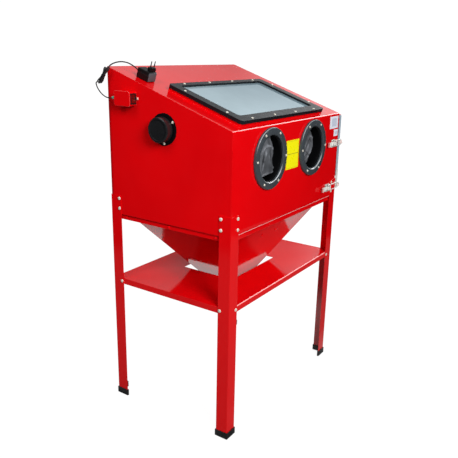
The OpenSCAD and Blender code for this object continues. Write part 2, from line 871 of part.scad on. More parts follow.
// Box with a screw ear on each side of its foot
module switch_box() {
    w = box_y1 - box_y0;
    h = box_z1 - box_z0;
    y = (box_y0 + box_y1) / 2;
    color(red) difference() {
        union() {
            on_left(y, rocker_z) round_plate(h, w, box_r, box_out);
            on_left(y, rocker_z) round_plate(12, w + 2 * ear_out, 5, 2);
        }
        on_left(y, rocker_z) translate([0, 0, -1])
            round_plate(h - 2 * box_wall, w - 2 * box_wall, box_r - box_wall, box_out + 1 - box_wall);
        block(rocker_x - 12, rocker_x + 12, box_y0 - 5, box_y0 + 5, rocker_z - 17, rocker_z + 17);
        translate([-half_w - 20, box_y1, rocker_z]) rotate([90, 0, 0]) cylinder(r = 5.2, h = 20, center = true);
        box_screw_places() translate([0, 0, -1]) cylinder(r = 2.2, h = 4, $fn = 24);
    }
}

module switch_housing() {
    w = rocker_w + 1;
    h = rocker_h + 2;
    color(black) difference() {
        union() {
            block(rocker_x - 14, rocker_x + 14, box_y0 - 2.5, box_y0 - 0.05, rocker_z - 19.5, rocker_z + 19.5);
            block(rocker_x - 11.8, rocker_x + 11.8, box_y0 - 1, box_y0 + 16, rocker_z - 16.8, rocker_z + 16.8);
        }
        block(rocker_x - w / 2, rocker_x + w / 2, box_y0 - 4, box_y0 + 14, rocker_z - h / 2, rocker_z + h / 2);
    }
    color(black) for (s = [-1, 1])
        translate([rocker_x + s * (w / 2 + 0.4), box_y0, rocker_z]) rotate([0, s * -90, 0])
            cylinder(r = 1.4, h = 3.4);
}

// Rocker paddle: a shallow V that tips about its middle; it rests with the upper half pressed in
module switch_rocker() {
    t = rocker_tilt;
    color("#6a1210") translate([rocker_x, box_y0, rocker_z]) rotate([-t, 0, 0]) difference() {
        along_x(-rocker_w / 2, rocker_w)
            polygon([[-1, 0], [-1 - 15 * tan(t), 15], [6, 14], [10, 0], [6, -14], [-1 - 15 * tan(t), -15]]);
        rotate([0, 90, 0]) cylinder(r = 1.45, h = 40, center = true);
    }
}

module cable_gland() {
    color("#3f8f6a") translate([-half_w - 20, box_y1 + 0.05, rocker_z]) rotate([-90, 0, 0]) difference() {
        union() {
            translate([0, 0, -8]) cylinder(r = 5, h = 9);
            cylinder(r = 8.5, h = 6, $fn = 6);
            translate([0, 0, 6]) cylinder(r1 = 7.5, r2 = 4.5, h = 16);
        }
        translate([0, 0, -20]) cylinder(r = 2.2, h = 60);
    }
}

// Thin lead from the gland to the adapter, with a tied hank of spare lead on the way
module power_cable() {
    y0 = box_y1 + 0.2;
    hank = [-half_w - 26, 284, 1302];
    tip = [-half_w - 22, 258, 1352];
    color(black) {
        rod_path([[-half_w - 20, y0 - 6, rocker_z], [-half_w - 20, 276, rocker_z],
                  [-half_w - 20, 300, 1263], [-half_w - 24, 306, 1288], hank], 1.9);
        rod(hank, tip, 9);
        rod(hank + 0.4 * (tip - hank), hank + 0.6 * (tip - hank), 10.5);
        rod_path([tip, [-half_w - 6, 256, 1368], [-half_w + 34, 240, 1372],
                  [-half_w + 58, 204, 1352], [-half_w + 62, 183, 1345]], 1.9);
    }
}

module power_adapter() {
    color(black) on_roof() translate([adapter_x, adapter_v0, 0]) {
        translate([0, adapter_l / 2, 0.05]) round_plate(adapter_w, adapter_l, 3, adapter_h);
        translate([4, 12, adapter_h - 1]) round_plate(32, 20, 6, plug_h);
    }
}

module plug_pins() {
    color(steel) on_roof() for (s = [-1, 1])
        translate([adapter_x + 4 + s * pin_pitch / 2, adapter_v0 + 12, adapter_h + plug_h - 0.9]) {
            cylinder(r = 2, h = pin_l - 2);
            translate([0, 0, pin_l - 2]) cylinder(r1 = 2, r2 = 1, h = 2);
        }
}

module lamp_housing() {
    color("#e6e6e6") on_roof() translate([0, 470, 0]) difference() {
        translate([-165, -24, -30]) cube([330, 48, 27.9]);
        translate([-158, -18, -31]) cube([316, 36, 24]);
    }
}

module lamp_lens() {
    color([0.95, 0.95, 0.92, 0.8]) on_roof() translate([-157.5, 470 - 17.5, -29]) cube([315, 35, 6]);
}

// ---------------------------------------------------------------- dust port

module dust_screw_places() {
    for (a = dust_bolt_as)
        on_left(dust_y, dust_z) translate([dust_bolt_r * sin(a), dust_bolt_r * cos(a), 0]) children();
}

module left_wall_screw_holes() {
    dust_screw_places() translate([0, 0, -10]) cylinder(r = 2.6, h = 20, $fn = 24);
    box_screw_places() translate([0, 0, -10]) cylinder(r = 2.2, h = 20, $fn = 24);
}

module dust_port() {
    color(black) difference() {
        on_left(dust_y, dust_z) union() {
            translate([0, 0, 0.05]) cylinder(r = dust_flange_r, h = 3, $fn = 72);
            translate([0, 0, -6]) cylinder(r = dust_pipe_r - 2.1, h = 8);
            cylinder(r = dust_pipe_r, h = dust_out - 8, $fn = 72);
        }
        on_left(dust_y, dust_z) translate([0, 0, -20]) cylinder(r = dust_pipe_r - 4, h = 80);
        left_wall_screw_holes();
    }
}

// Push-on cap with a raised rim on its end face
module dust_cap() {
    color(black) on_left(dust_y, dust_z) rotate_extrude($fn = 72)
        polygon([[0, dust_out - 7], [0, dust_out - 3], [dust_cap_r - 9, dust_out - 3],
                 [dust_cap_r - 8, dust_out], [dust_cap_r - 3, dust_out], [dust_cap_r, dust_out - 3],
                 [dust_cap_r, 8], [dust_pipe_r + 0.1, 8], [dust_pipe_r + 0.1, dust_out - 7]]);
}

module left_wall_screws() {
    color(zinc) {
        dust_screw_places() translate([0, 0, 3.05]) screw(4.6, 3, 2.4, 9);
        box_screw_places() translate([0, 0, 2]) screw(4, 2.6, 2, 7);
    }
}

// ---------------------------------------------------------------- blast gun and hoses
// The gun lies on its side on the grate: the barrel points to the left, the grip to the rear

module gun_body() {
    color(steel) translate([gun_x, gun_y, gun_z]) difference() {
        union() {
            rotate([0, 90, 0]) cylinder(r = 15, h = 90, center = true);
            rotate([0, 0, -12]) block(14, 40, 0, 95, -11, 11);
            translate([25, -2, 0]) rotate([90, 0, 0]) cylinder(r = 9, h = 26);
            for (s = [-1, 1]) block(-18, -6, 8, 30, s > 0 ? 8.3 : -10.8, s > 0 ? 10.8 : -8.3);
        }
        rotate([0, -90, 0]) cylinder(r = 8.1, h = 50);
        rotate([0, 90, 0]) translate([0, 0, -6]) cylinder(r = 3, h = 40);
    }
    color(steel) translate([gun_x + trigger_at[0], gun_y + trigger_at[1], gun_z])
        cylinder(r = trigger_pin_r, h = 18, center = true);
}

module gun_nozzle() {
    color("#ece7dc") translate([gun_x - 45.05, gun_y, gun_z]) rotate([0, -90, 0]) difference() {
        union() {
            translate([0, 0, -30]) cylinder(r = 8, h = 34);
            cylinder(r = 10.5, h = 14);
            translate([0, 0, 14]) cylinder(r1 = 10.5, r2 = 7, h = 18);
        }
        translate([0, 0, -40]) cylinder(r = 3.2, h = 90);
    }
}

// Trigger bar hung on its own pivot pin in front of the grip
module gun_trigger() {
    color(red) translate([gun_x + trigger_at[0], gun_y + trigger_at[1], gun_z]) difference() {
        union() {
            cylinder(r = 4, h = 16, center = true);
            rotate([0, 0, -8]) block(-3, 3, 0, 62, -7, 7);
        }
        cylinder(r = trigger_pin_r + 0.05, h = 20, center = true);
    }
}

// Quarter bend of a round hose, from +X round to +Y about the origin
module hose_bend(r_bend, r) {
    rotate_extrude(angle = 90, $fn = 64) translate([r_bend, 0]) circle(r = r);
}

// From the grip's end along the grate, up in an S to the height of the inlet
module air_hose() {
    y0 = gun_y + 89;
    y3 = half_d - 36;
    r1 = (inlet_z - gun_z) / 2;
    y2 = y3 - 10;
    y1 = y2 - 2 * r1;
    color("#26282b") translate([inlet_x, 0, gun_z]) {
        translate([0, y0, 0]) rotate([-90, 0, 0]) cylinder(r = air_hose_r, h = y1 - y0);
        translate([0, y1, r1]) rotate([90, 0, 90]) rotate([0, 0, -90]) hose_bend(r1, air_hose_r);
        translate([0, y2, r1]) rotate([90, 0, 90]) rotate([0, 0, 90]) hose_bend(r1, air_hose_r);
        translate([0, y2, 2 * r1]) rotate([-90, 0, 0]) cylinder(r = air_hose_r, h = y3 - y2);
    }
}

module media_hose() {
    x0 = gun_x + 25;
    y0 = gun_y - 29;
    r1 = 40;
    r2 = x0 - r1 - pickup_x;
    r3 = 18;
    y2 = y0 - r1 + r2;
    color("#3a3d40") translate([0, 0, gun_z]) {
        translate([x0 - r1, y0, 0]) rotate([0, 0, -90]) hose_bend(r1, hose_r);
        translate([x0 - r1, y2, 0]) rotate([0, 0, 180]) hose_bend(r2, hose_r);
        translate([pickup_x, y2, 0]) rotate([-90, 0, 0]) cylinder(r = hose_r, h = pickup_y - r3 - y2);
        translate([pickup_x, pickup_y - r3, -r3]) rotate([90, 0, 90]) hose_bend(r3, hose_r);
        translate([pickup_x, pickup_y, 774 - gun_z]) cylinder(r = hose_r, h = gun_z - r3 - 774);
    }
}

module pickup_tube() {
    a = [pickup_x, pickup_y, 770];
    b = [34, 5, 470];
    d = (b - a) / norm(b - a);
    color(steel) difference() {
        rod(a, b, 8);
        rod(a - 5 * d, b + 5 * d, 6);
    }
}

// Bulkhead connector through the back wall: nut outside, hose barb inside
module air_inlet() {
    color("#c2a252") on_back(inlet_x, inlet_z) difference() {
        union() {
            translate([0, 0, -34]) cylinder(r = 8, h = 34 + inlet_out);
            translate([0, 0, 0.05]) cylinder(r = 13, h = 6, $fn = 6);
            translate([0, 0, -9]) cylinder(r = 13, h = 9 - sheet - 0.05, $fn = 6);
        }
        translate([0, 0, -40]) cylinder(r = 4.5, h = 80);
    }
}

// ---------------------------------------------------------------- blank labels

module label(x0, x1, z0, z1) {
    block(x0, x1, -half_d - 0.35, -half_d - 0.05, z0, z1);
}

module yellow_label() {
    color("#f2d81c") label(-50, 50, 987, 1099);
}

module white_labels() {
    color("#e9ecf2") {
        label(330, 411, 1108, 1160);
        label(374, 415, 1074, 1102);
    }
}

left_side_panel();
right_side_panel();
front_roof_panel();
back_panel();
hopper();
hopper_screws();
gate_rails();
drain_gate();
work_grate();
shelf();
front_left_leg();
front_right_leg();
rear_left_leg();
rear_right_leg();
rubber_feet();
frame_bolts();
window_gasket();
window_glass();
window_frame();
window_screws();
left_glove_ring();
right_glove_ring();
glove_ring_screws();
left_glove();
right_glove();
side_door();
door_gasket();
door_edge_trim();
door_hinge_leaves();
frame_hinge_leaves();
hinge_pins();
upper_latch_base();
upper_latch_lever();
upper_latch_bail();
upper_keeper();
lower_latch_base();
lower_latch_lever();
lower_latch_bail();
lower_keeper();
switch_box();
switch_housing();
switch_rocker();
cable_gland();
power_cable();
power_adapter();
plug_pins();
dust_port();
dust_cap();
left_wall_screws();
lamp_housing();
lamp_lens();
gun_body();
gun_nozzle();
gun_trigger();
air_hose();
media_hose();
pickup_tube();
air_inlet();
yellow_label();
white_labels();
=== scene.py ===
"""Looks for the sandblast cabinet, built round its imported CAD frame."""
import json
import math
import random

import bmesh
import bpy
from mathutils import Matrix, Vector, noise

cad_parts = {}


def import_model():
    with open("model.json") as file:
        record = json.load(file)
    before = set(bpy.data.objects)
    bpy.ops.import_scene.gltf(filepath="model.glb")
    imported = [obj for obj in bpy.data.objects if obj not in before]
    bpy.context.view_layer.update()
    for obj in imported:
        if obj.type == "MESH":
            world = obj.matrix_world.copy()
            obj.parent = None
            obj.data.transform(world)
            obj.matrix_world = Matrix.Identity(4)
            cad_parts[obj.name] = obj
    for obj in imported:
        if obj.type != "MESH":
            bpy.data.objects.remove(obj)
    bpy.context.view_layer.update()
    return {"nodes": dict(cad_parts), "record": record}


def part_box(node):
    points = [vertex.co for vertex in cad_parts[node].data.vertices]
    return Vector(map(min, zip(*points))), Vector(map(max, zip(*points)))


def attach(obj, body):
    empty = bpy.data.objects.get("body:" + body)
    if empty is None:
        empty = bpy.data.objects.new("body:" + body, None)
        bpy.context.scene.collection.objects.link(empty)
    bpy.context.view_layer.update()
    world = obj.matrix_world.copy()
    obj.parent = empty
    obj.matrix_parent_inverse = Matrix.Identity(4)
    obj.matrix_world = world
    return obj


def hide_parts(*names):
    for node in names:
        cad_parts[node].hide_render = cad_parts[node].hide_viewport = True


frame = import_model()
rng = random.Random(11)

# The steel body: half its width and depth, and the height of its roof at the front and at the rear
HALF_W, HALF_D = 0.420, 0.280
FRONT_H, REAR_H = 1.170, 1.360
SLOPE = math.atan2(REAR_H - FRONT_H, 2 * HALF_D)
# Middles of the two arm openings in the front wall
ARM_Z = 1.050
ARM_X = {"left": -0.174, "right": 0.166}


# ---------------------------------------------------------------- materials

def add_node(tree, kind, inputs=None, **props):
    """New node; each input takes a value or the output of another node."""
    node = tree.nodes.new(kind)
    for key, value in props.items():
        setattr(node, key, value)
    for key, value in (inputs or {}).items():
        if isinstance(value, bpy.types.NodeSocket):
            tree.links.new(value, node.inputs[key])
        else:
            node.inputs[key].default_value = value
    return node


def opaque(colour):
    """A colour of three numbers gets its alpha; a node's output stays as it is."""
    return colour if isinstance(colour, bpy.types.NodeSocket) else (*colour, 1.0)


def darker(colour, share):
    return tuple(share * c for c in colour)


MATS = {}
# Radius at which folds and moulded edges are shaded and along which painted highlights follow them, and width
# of the pale strip along an edge, partly wear and partly a painted highlight
FOLD_R, EDGE_WEAR_AND_SHEEN_R = 0.0016, 0.0014


class Mat:
    """A node material, kept in MATS by its name, with its texture space fixed to the object."""

    def __init__(self, name, metallic=0.0, spec=0.5):
        self.material = bpy.data.materials.new(name)
        MATS[name] = self.material
        self.material.use_nodes = True
        self.tree = self.material.node_tree
        self.shader = self.tree.nodes["Principled BSDF"]
        self.shader.inputs["Metallic"].default_value = metallic
        self.shader.inputs["IOR"].default_value = 1.5
        self.shader.inputs["Specular IOR Level"].default_value = spec
        self.space = self.add("ShaderNodeTexCoord").outputs["Object"]

    def add(self, kind, inputs=None, **props):
        return add_node(self.tree, kind, inputs, **props)

    def place(self):
        """X, Y and Z of the point on the object."""
        return self.add("ShaderNodeSeparateXYZ", {0: self.space}).outputs

    def stretched(self, sx, sy, sz):
        return self.add("ShaderNodeMapping", {"Vector": self.space, "Scale": (sx, sy, sz)}).outputs[0]

    def noise(self, scale, detail=4.0, rough=0.55, space=None):
        inputs = {"Vector": space or self.space, "Scale": scale, "Detail": detail, "Roughness": rough}
        return self.add("ShaderNodeTexNoise", inputs).outputs["Fac"]

    def remap(self, v, a, b, low, high):
        """Straight ramp from low at a to high at b, level outside."""
        inputs = {"Value": v, "From Min": a, "From Max": b, "To Min": low, "To Max": high}
        return self.add("ShaderNodeMapRange", inputs).outputs["Result"]

    def math(self, op, a, b=0.0):
        return self.add("ShaderNodeMath", {0: a, 1: b}, operation=op).outputs[0]

    def mix(self, share, a, b):
        """Colour a where share is 0 and colour b where it is 1."""
        inputs = {0: share, 6: opaque(a), 7: opaque(b)}
        return self.add("ShaderNodeMix", inputs, data_type="RGBA").outputs[2]

    def bevel(self, radius, samples=4):
        """Normals of the surface as if its edges were rounded."""
        return self.add("ShaderNodeBevel", {"Radius": radius}, samples=samples).outputs[0]

    def edges(self, radius):
        """1 along edges, 0 on flats."""
        flat = self.add("ShaderNodeNewGeometry").outputs["Normal"]
        inputs = {0: self.bevel(radius), 1: flat}
        same = self.add("ShaderNodeVectorMath", inputs, operation="DOT_PRODUCT").outputs["Value"]
        return self.remap(same, 0.88, 0.995, 1.0, 0.0)

    def upper_front(self, radius):
        """1 where a rounding looks up and to the front at once, so that it catches light; painted highlights
        are laid there.
        """
        _, y, z = self.add("ShaderNodeSeparateXYZ", {0: self.bevel(radius, 6)}).outputs
        up, front = self.remap(z, 0.25, 0.5, 0.0, 1.0), self.remap(y, -0.25, -0.45, 0.0, 1.0)
        not_flat = self.remap(z, 0.94, 0.82, 0.0, 1.0)
        return self.math("MULTIPLY", self.math("MULTIPLY", up, front), not_flat)

    def colour(self, v):
        self.tree.links.new(v, self.shader.inputs["Base Color"])

    def roughness(self, v):
        self.tree.links.new(v, self.shader.inputs["Roughness"])

    def bump(self, height, strength, distance, edge=0.0):
        """Relief of the surface; edges are shaded as rounded when edge gives a radius."""
        node = self.add("ShaderNodeBump", {"Height": height, "Strength": strength, "Distance": distance})
        if edge:
            self.tree.links.new(self.bevel(edge), node.inputs["Normal"])
        self.tree.links.new(node.outputs[0], self.shader.inputs["Normal"])

    def surface(self, shader):
        self.tree.links.new(shader, self.tree.nodes["Material Output"].inputs["Surface"])


def paint(name, light, dark, edge_wear_and_sheen=0.25, edge_wear_and_sheen_colour=None, extra=None):
    """Glossy powder coat: slight orange peel, faint dust and scuffs, and paler on edges, partly as wear where
    the coat is thin and partly as a painted highlight.
    """
    dusty = (0.70, 0.03, 0.03)
    edge_wear_and_sheen_colour = edge_wear_and_sheen_colour or tuple(min(1, c * 1.1 + 0.01) for c in light)
    m = Mat(name)
    base = m.mix(m.remap(m.noise(2.6, 3), 0.35, 0.7, 0.0, 1.0), light, dark)
    scuff = m.remap(m.noise(60, 6, 0.6, m.stretched(1, 7, 1)), 0.66, 0.78, 0.0, 1.0)
    dust = m.remap(m.noise(9, 8, 0.65), 0.5, 0.85, 0.0, 0.03)
    base = m.mix(dust, base, dusty)
    # Wear and painted highlight: edges are mixed toward the paler colour
    base = m.mix(m.math("MULTIPLY", m.edges(EDGE_WEAR_AND_SHEEN_R), edge_wear_and_sheen), base, edge_wear_and_sheen_colour)
    m.colour(extra(m, base) if extra else base)
    smooth_coat = m.remap(m.noise(14, 6), 0.3, 0.75, 0.07, 0.15)
    m.roughness(m.math("ADD", smooth_coat, m.math("MULTIPLY", scuff, 0.08)))
    m.bump(m.noise(420, 2), 0.05, 0.0006, edge=FOLD_R)


def painted_hem_highlight(m, base):
    """Painted highlight: a pale line along the lower edge of the front, in place of the bright floor mirrored
    in its rounded hem.
    """
    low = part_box("front_roof_panel")[0][2]
    return m.mix(band(m, m.place()[2], low + 0.001, 0.0012), base, (0.95, 0.62, 0.62))


def painted_bend_highlight(m, base):
    """Painted highlight along the shelf's front bend, where it catches light."""
    return m.mix(m.math("MULTIPLY", m.upper_front(FOLD_R), 0.75), base, (0.95, 0.50, 0.50))


def painted_rear_shade(m, base):
    """Painted shade: the rear edge of the side wall is darkened as if it turned away from the light."""
    # Painted shade, growing toward the rear edge
    rear_shade = m.remap(m.place()[1], HALF_D - 0.015, HALF_D - 0.003, 0.0, 0.55)
    return m.mix(rear_shade, base, (0.16, 0.002, 0.004))


def plastic(name, colour, rough, strength=0.12, edge=0.0008, spec=0.5, edge_highlight=0.0):
    """Moulded plastic with a fine grain; the last argument is how strongly its upper front edges are painted
    pale, a painted highlight where they catch light.
    """
    # Pale colour of the painted highlight on the upper front edges
    dust = (0.62, 0.66, 0.70)
    m = Mat(name, spec=spec)
    base = m.mix(m.remap(m.noise(25, 5), 0.3, 0.7, 0.0, 1.0), colour, darker(colour, 0.8))
    if edge_highlight:
        # Painted highlight on the upper front edges
        base = m.mix(m.math("MULTIPLY", m.upper_front(FOLD_R), edge_highlight), base, dust)
    m.colour(base)
    m.roughness(m.remap(m.noise(40, 6), 0.3, 0.7, *rough))
    m.bump(m.noise(900, 3), strength, 0.0004, edge=edge)


def rubber(name, colour):
    """Matt rubber with chalky patches."""
    chalk = (0.22, 0.22, 0.23)
    m = Mat(name, spec=0.4)
    m.colour(m.mix(m.remap(m.noise(18, 6, 0.6), 0.4, 0.75, 0.0, 0.15), colour, chalk))
    m.roughness(m.remap(m.noise(30, 6), 0.3, 0.7, 0.5, 0.72))
    m.bump(m.noise(600, 4), 0.25, 0.0005)


def glove_rubber(name):
    """Smooth black rubber, pale where the slack of the sleeve folds over: partly blasting dust and partly
    painted light, with painted highlights on the crease ridges and painted shade in the hollows.
    """
    black, pale = (0.0032, 0.0034, 0.0040), (0.30, 0.32, 0.36)
    m = Mat(name, spec=0.3)
    dust = m.add("ShaderNodeAttribute", attribute_name="dust").outputs["Fac"]
    patch = m.remap(m.noise(34, 7, 0.62), 0.34, 0.66, 0.55, 1.0)
    m.colour(m.mix(m.math("MULTIPLY", dust, patch), black, pale))
    m.roughness(m.remap(m.noise(40, 6), 0.3, 0.7, 0.42, 0.60))
    m.bump(m.noise(500, 4), 0.2, 0.0005)


def metal(name, colour, rough, grain=(1, 1, 1), strength=0.08, tarnish=None, metallic=1.0, shade_reach=0.0):
    """Plated or bare metal with tarnish; the last argument is how far from a corner painted shade still
    reaches.
    """
    shade_colour = (0.025, 0.022, 0.02)
    m = Mat(name, metallic=metallic)
    spots = m.remap(m.noise(45, 6), 0.45, 0.7, 0.0, 0.55)
    base = m.mix(spots, colour, tarnish or darker(colour, 0.72))
    if shade_reach:
        # Painted shade: darker in corners and crevices that ambient occlusion finds
        open_sky = m.add("ShaderNodeAmbientOcclusion", {"Distance": shade_reach}, samples=6).outputs["AO"]
        base = m.mix(m.remap(open_sky, 0.35, 0.75, 0.92, 0.0), base, shade_colour)
    m.colour(base)
    m.roughness(m.remap(m.noise(70, 5), 0.3, 0.7, *rough))
    m.bump(m.noise(300, 4, space=m.stretched(*grain)), strength, 0.0003, edge=0.0004)


def film(name, colour, print_colour, mask):
    """Sticker with a plain print; mask(m, x, z) gives the printed part from the place on the front wall."""
    m = Mat(name)
    x, _, z = m.place()
    base = m.mix(m.remap(m.noise(120, 4), 0.35, 0.75, 0.0, 0.2), colour, darker(colour, 0.86))
    m.colour(m.mix(mask(m, x, z), base, print_colour))
    m.roughness(m.remap(m.noise(50, 4), 0.3, 0.7, 0.22, 0.42))
    m.bump(m.noise(60, 4), 0.15, 0.0005)


def band(m, v, middle, half):
    """1 within half of the middle, 0 outside."""
    off = m.math("ABSOLUTE", m.math("SUBTRACT", v, middle))
    return m.remap(off, half, half + 0.0006, 1.0, 0.0)


def panel(m, x, z, middle, half):
    """1 inside an upright rectangle on the front wall, 0 outside."""
    return m.math("MULTIPLY", band(m, x, middle[0], half[0]), band(m, z, middle[1], half[1]))


# The printed panels of the two white labels: middle and half size, across and up
WHITE_PANELS = [((0.3725, 1.134), (0.024, 0.017)), ((0.397, 1.088), (0.010, 0.006))]


def yellow_print(m, x, z):
    """A plain thin border and one dividing line."""
    inset, width = 0.004, 0.0008
    (x0, _, z0), (x1, _, z1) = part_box("yellow_label")
    middle = (x0 + x1) / 2, (z0 + z1) / 2
    half_x, half_z = (x1 - x0) / 2 - inset, (z1 - z0) / 2 - inset
    outer = panel(m, x, z, middle, (half_x, half_z))
    inner = panel(m, x, z, middle, (half_x - width, half_z - width))
    border = m.math("SUBTRACT", outer, inner)
    divider = panel(m, x, z, (middle[0], z0 + 0.52 * (z1 - z0)), (half_x - 0.001, width))
    return m.math("MAXIMUM", border, divider)


def white_print(m, x, z):
    """A faded plain panel in the middle of each white label."""
    large, small = [panel(m, x, z, middle, half) for middle, half in WHITE_PANELS]
    faded = m.remap(m.noise(160, 3), 0.3, 0.7, 0.35, 0.8)
    return m.math("MULTIPLY", m.math("MAXIMUM", large, small), faded)


def glass(name):
    """Thin pane: partly clear, mirrors at low angles, with a pale bluish film, paler on the left, that is
    partly blasting dust and partly a painted reflection of the bright room.
    """
    m = Mat(name)
    clear = m.add("ShaderNodeBsdfTransparent", {"Color": (0.70, 0.80, 0.84, 1)}).outputs[0]
    shine = m.add("ShaderNodeBsdfGlossy", {"Color": (0.86, 0.96, 1.0, 1), "Roughness": 0.03}).outputs[0]
    # Dust and painted reflection: the film's colour, paler on the left
    across = m.remap(m.place()[0], -0.20, 0.15, 0.0, 1.0)
    film_colour = m.mix(across, (0.46, 0.60, 0.67), (0.31, 0.43, 0.50))
    dusty = m.add("ShaderNodeBsdfDiffuse", {"Color": film_colour}).outputs[0]
    low_angle = m.math("MULTIPLY", m.add("ShaderNodeFresnel", {"IOR": 1.55}).outputs[0], 1.1)
    haze = m.remap(m.noise(7, 7), 0.3, 0.75, 0.62, 0.72)
    pane = m.add("ShaderNodeMixShader", {0: haze, 1: clear, 2: dusty}).outputs[0]
    m.surface(m.add("ShaderNodeMixShader", {0: low_angle, 1: pane, 2: shine}).outputs[0])


RED, RED_DARK = (0.745, 0.0015, 0.0035), (0.66, 0.001, 0.003)
CREAM, CREAM_DARK = (0.88, 0.85, 0.76), (0.74, 0.68, 0.52)
BRIGHT, BRIGHT_DARK = (0.97, 0.97, 0.94), (0.80, 0.78, 0.66)
paint("red_paint", RED, RED_DARK)
paint("front_paint", RED, RED_DARK, extra=painted_hem_highlight)
paint("side_paint", RED, RED_DARK, extra=painted_rear_shade)
paint("shelf_paint", RED, RED_DARK, extra=painted_bend_highlight)
# The switch box's edges are painted much paler: mostly a painted highlight along them, over some wear
paint("box_paint", RED, RED_DARK, edge_wear_and_sheen=0.6, edge_wear_and_sheen_colour=(0.95, 0.42, 0.42))
metal("zinc_plate", CREAM, (0.20, 0.36), tarnish=CREAM_DARK, metallic=0.35)
metal("latch_plate", BRIGHT, (0.16, 0.30), tarnish=BRIGHT_DARK, metallic=0.25, shade_reach=0.012)
metal("bare_steel", (0.52, 0.53, 0.55), (0.3, 0.5), grain=(1, 12, 12), strength=0.15)
metal("brass", (0.72, 0.50, 0.20), (0.24, 0.4))
metal("pin_metal", (0.20, 0.20, 0.20), (0.3, 0.45), metallic=0.8)
plastic("black_plastic", (0.012, 0.0125, 0.014), (0.22, 0.36))
plastic("ring_plastic", (0.050, 0.060, 0.070), (0.16, 0.30), edge=FOLD_R, edge_highlight=0.6)
plastic("frame_plastic", (0.008, 0.010, 0.013), (0.22, 0.36), edge=0.0018, spec=0.2)
plastic("port_plastic", (0.004, 0.004, 0.005), (0.40, 0.55), spec=0.2)
plastic("adapter_shell", (0.006, 0.0065, 0.007), (0.35, 0.5), spec=0.3)
plastic("adapter_cap", (0.085, 0.092, 0.105), (0.3, 0.45), spec=0.3)
plastic("lamp_white", (0.80, 0.80, 0.78), (0.2, 0.3))
plastic("lamp_lens", (0.85, 0.85, 0.80), (0.3, 0.4))
plastic("trim_grey", (0.42, 0.52, 0.62), (0.18, 0.3), strength=0.05)
plastic("green_plastic", (0.16, 0.46, 0.33), (0.3, 0.4))
plastic("switch_red", (0.12, 0.004, 0.003), (0.16, 0.26), strength=0.03)
plastic("ceramic", (0.76, 0.72, 0.62), (0.3, 0.45))
rubber("black_rubber", (0.012, 0.012, 0.013))
glove_rubber("glove_rubber")
glass("window_glass")
film("yellow_film", (0.92, 0.85, 0.002), (0.30, 0.27, 0.02), yellow_print)
film("white_film", (0.78, 0.82, 0.92), (0.40, 0.45, 0.60), white_print)
# Nodes whose looks differ from those of their material slot
SPECIAL = {
    "left_glove_ring": "ring_plastic", "right_glove_ring": "ring_plastic", "window_frame": "frame_plastic",
    "dust_port": "port_plastic", "front_roof_panel": "front_paint", "left_side_panel": "side_paint",
    "shelf": "shelf_paint", "switch_box": "box_paint", "hopper_screws": "red_paint",
}
for level in ("upper", "lower"):
    for piece in ("latch_base", "latch_lever", "latch_bail", "keeper"):
        SPECIAL[f"{level}_{piece}"] = "latch_plate"


def dress_nodes():
    """Every CAD node gets its material, and smooth shading between its sharp edges."""
    slots = {part["node"]: part["material_slot"] for part in frame["record"]["subparts"]}
    for name, o in frame["nodes"].items():
        o.data.materials.clear()
        o.data.materials.append(MATS[SPECIAL.get(name, slots[name])])
        o.data.shade_smooth()
        weld = o.modifiers.new("weld", "WELD")
        weld.merge_threshold = 0.00001
        split = o.modifiers.new("split", "EDGE_SPLIT")
        split.split_angle = math.radians(32)


dress_nodes()


# ---------------------------------------------------------------- helpers for pieces

def new_object(name, data):
    o = bpy.data.objects.new(name, data)
    bpy.context.scene.collection.objects.link(o)
    return o


def mesh_object(name, verts, faces, material, smooth=True):
    mesh = bpy.data.meshes.new(name)
    mesh.from_pydata([tuple(v) for v in verts], [], faces)
    mesh.update()
    if smooth:
        mesh.shade_smooth()
    mesh.materials.append(material)
    return new_object(name, mesh)


def crisp(mesh, degrees):
    """Smooth shading with sharp edges where faces meet at more than the angle."""
    mesh.shade_smooth()
    mesh.set_sharp_from_angle(angle=math.radians(degrees))


def hand_over(o, cad=None):
    """Every piece made here rides on the cabinet's body; cad is the CAD node that it stands for."""
    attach(o, "cabinet")
    if cad:
        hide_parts(cad)


def apply_modifiers(o):
    depsgraph = bpy.context.evaluated_depsgraph_get()
    mesh = bpy.data.meshes.new_from_object(o.evaluated_get(depsgraph))
    o.modifiers.clear()
    old, o.data = o.data, mesh
    bpy.data.meshes.remove(old)


def circle(sides):
    """Cosine and sine of equal steps round a circle."""
    angles = [2 * math.pi * k / sides for k in range(sides)]
    return [(math.cos(a), math.sin(a)) for a in angles]


def ring_faces(rings, sides):
    """Quads between each ring of vertices and the next."""
    faces = []
    for i in range(rings - 1):
        for k in range(sides):
            a, b = i * sides + k, i * sides + (k + 1) % sides
            faces.append((a, b, b + sides, a + sides))
    return faces


def smooth_path(points, steps=10):
    """Catmull-Rom curve through the points."""
    p = [Vector(q) for q in points]
    p = [p[0] * 2 - p[1]] + p + [p[-1] * 2 - p[-2]]
    path = []
    for i in range(1, len(p) - 2):
        a, b, c, d = p[i - 1:i + 3]
        for k in range(steps):
            t = k / steps
            bend, twist = 2 * a - 5 * b + 4 * c - d, 3 * b - a - 3 * c + d
            path.append(0.5 * (2 * b + (c - a) * t + bend * t * t + twist * t ** 3))
    path.append(p[-2])
    return path


